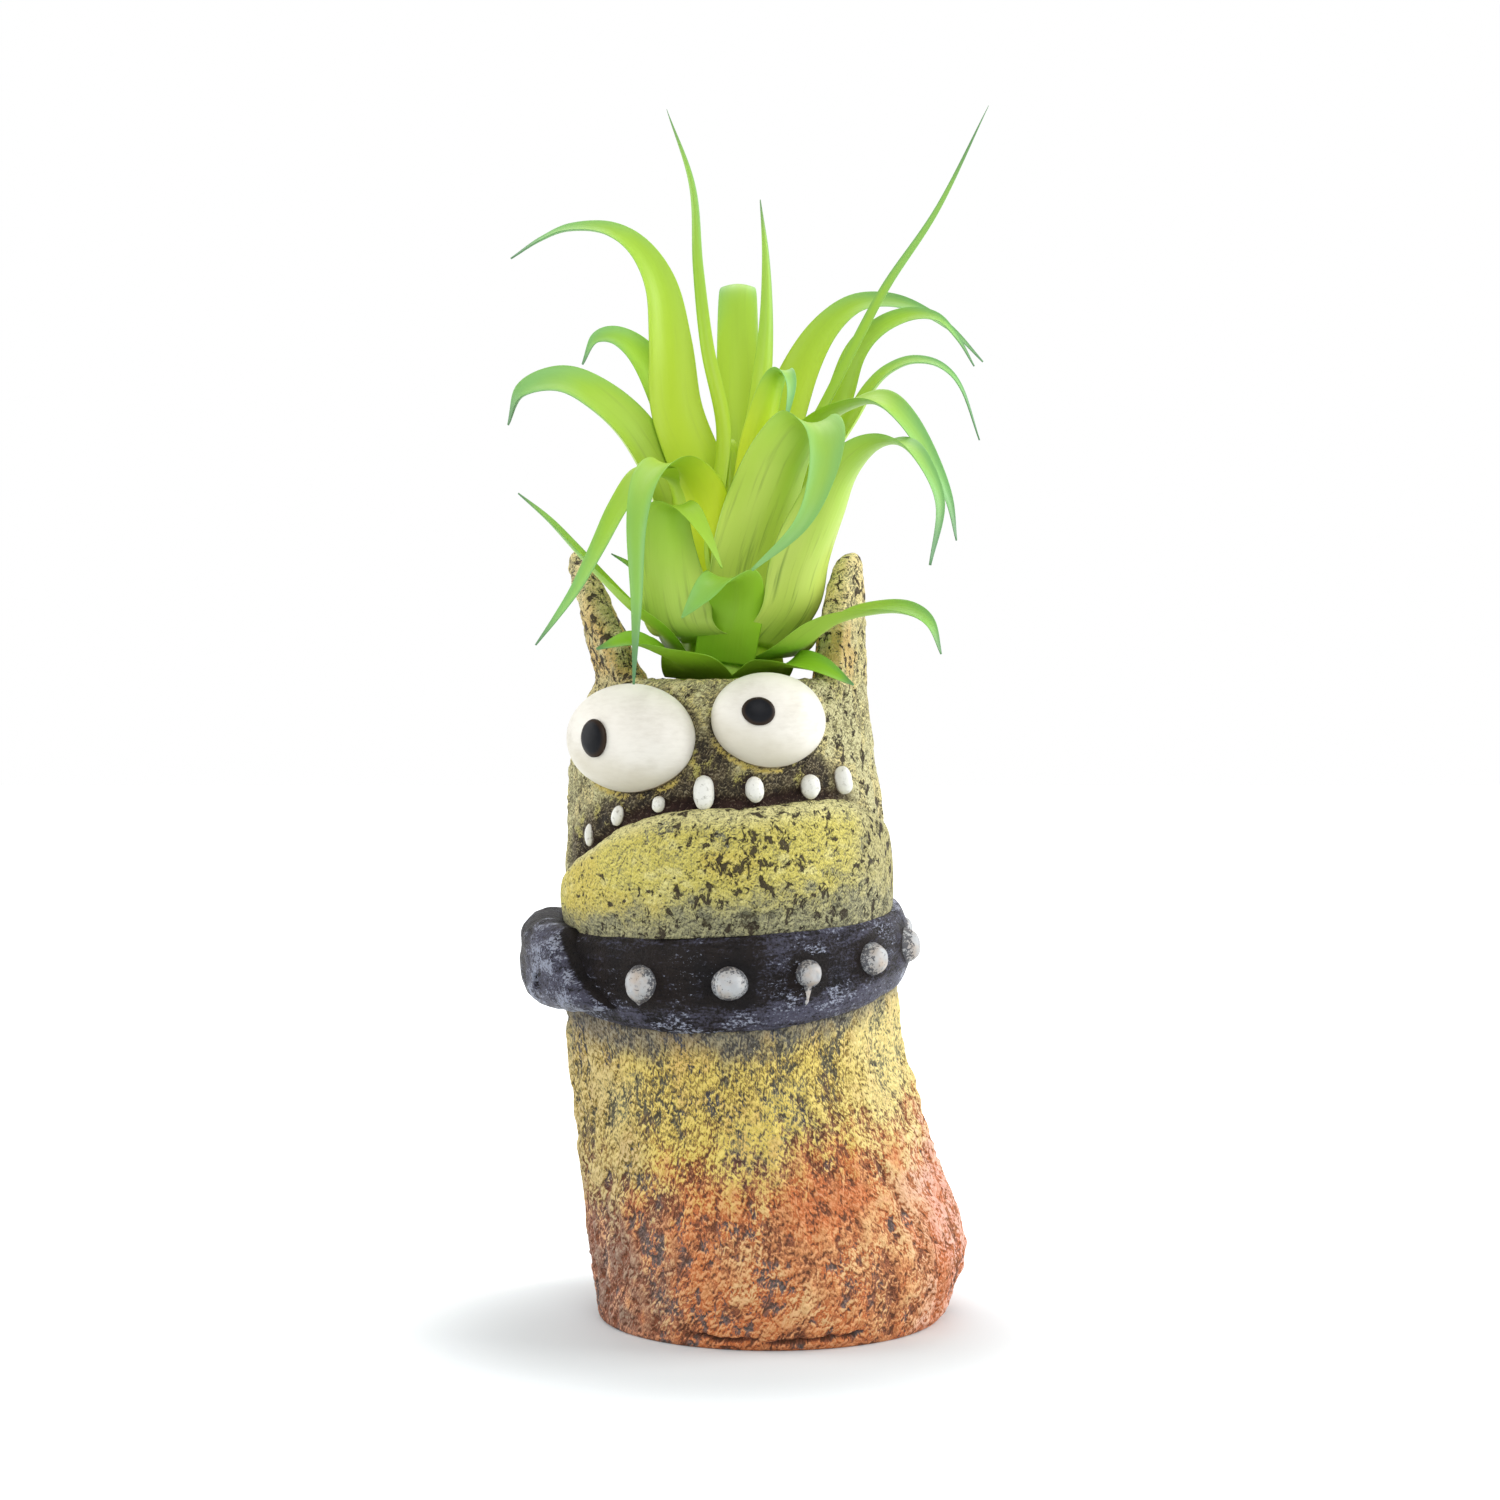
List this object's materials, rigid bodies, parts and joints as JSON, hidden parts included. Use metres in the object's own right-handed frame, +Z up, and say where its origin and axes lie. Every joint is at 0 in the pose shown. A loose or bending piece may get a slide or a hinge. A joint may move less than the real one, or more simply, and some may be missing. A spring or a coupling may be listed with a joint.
{
  "type": "monster planter",
  "caption": "Tube-shaped monster planter with ears, bulging eyes, a jutting jaw and a studded collar, holding a leafy artificial plant that lifts out of a foam plug.",
  "frame": {"origin": "middle of the flat base, on the surface that the pot stands on", "axes": "+Z up, -Y the way the face looks, +X to the right of a viewer who faces it"},
  "size_m": [0.085, 0.0766, 0.2146],
  "materials": {
    "painted_clay": "pitted, dry-brushed yellow over grey, orange towards the base",
    "eye_white": "satin paint",
    "pupil_black": "gloss paint",
    "tooth_white": "satin paint",
    "collar_black": "satin, dry-brushed blue grey",
    "stud_grey": "silver grey paint",
    "foam_grey": "dry foam",
    "leaf_green": "soft satin"
  },
  "bodies": {
    "pot": {"collar_keeper": "collar_black", "collar_strap": "collar_black", "collar_stud_1": "stud_grey", "collar_stud_2": "stud_grey", "collar_stud_3": "stud_grey", "collar_stud_4": "stud_grey", "collar_stud_5": "stud_grey", "collar_stud_6": "stud_grey", "collar_stud_7": "stud_grey", "collar_stud_8": "stud_grey", "collar_stud_9": "stud_grey", "collar_tongue": "collar_black", "large_eye": "eye_white", "large_pupil": "pupil_black", "lower_jaw": "painted_clay", "planting_foam": "foam_grey", "pot_body": "painted_clay", "small_eye": "eye_white", "small_pupil": "pupil_black", "tooth_1": "tooth_white", "tooth_2": "tooth_white", "tooth_3": "tooth_white", "tooth_4": "tooth_white", "tooth_5": "tooth_white", "tooth_6": "tooth_white", "tooth_7": "tooth_white"},
    "plant": {"leaf_arch_left_tall": "leaf_green", "leaf_arch_right_front": "leaf_green", "leaf_arch_right_high": "leaf_green", "leaf_arch_right_mid": "leaf_green", "leaf_arch_right_thin": "leaf_green", "leaf_back_broad": "leaf_green", "leaf_back_left": "leaf_green", "leaf_back_low": "leaf_green", "leaf_back_right": "leaf_green", "leaf_broad_left": "leaf_green", "leaf_broad_right": "leaf_green", "leaf_centre_broad": "leaf_green", "leaf_centre_fold": "leaf_green", "leaf_droop_front": "leaf_green", "leaf_droop_left": "leaf_green", "leaf_fold_back": "leaf_green", "leaf_front_small": "leaf_green", "leaf_hook_left": "leaf_green", "leaf_reach_left": "leaf_green", "leaf_reach_right": "leaf_green", "leaf_rim_left": "leaf_green", "leaf_rim_right": "leaf_green", "leaf_short_left": "leaf_green", "leaf_spike_left": "leaf_green", "leaf_spike_middle": "leaf_green", "leaf_spike_right": "leaf_green", "leaf_upright_left": "leaf_green", "plant_core": "leaf_green"}
  },
  "joints": [
    {"name": "plant_lift", "type": "slide", "parent": "pot", "child": "plant", "axis": [0, 0, 1], "range_m": [0, 0.066]}
  ]
}
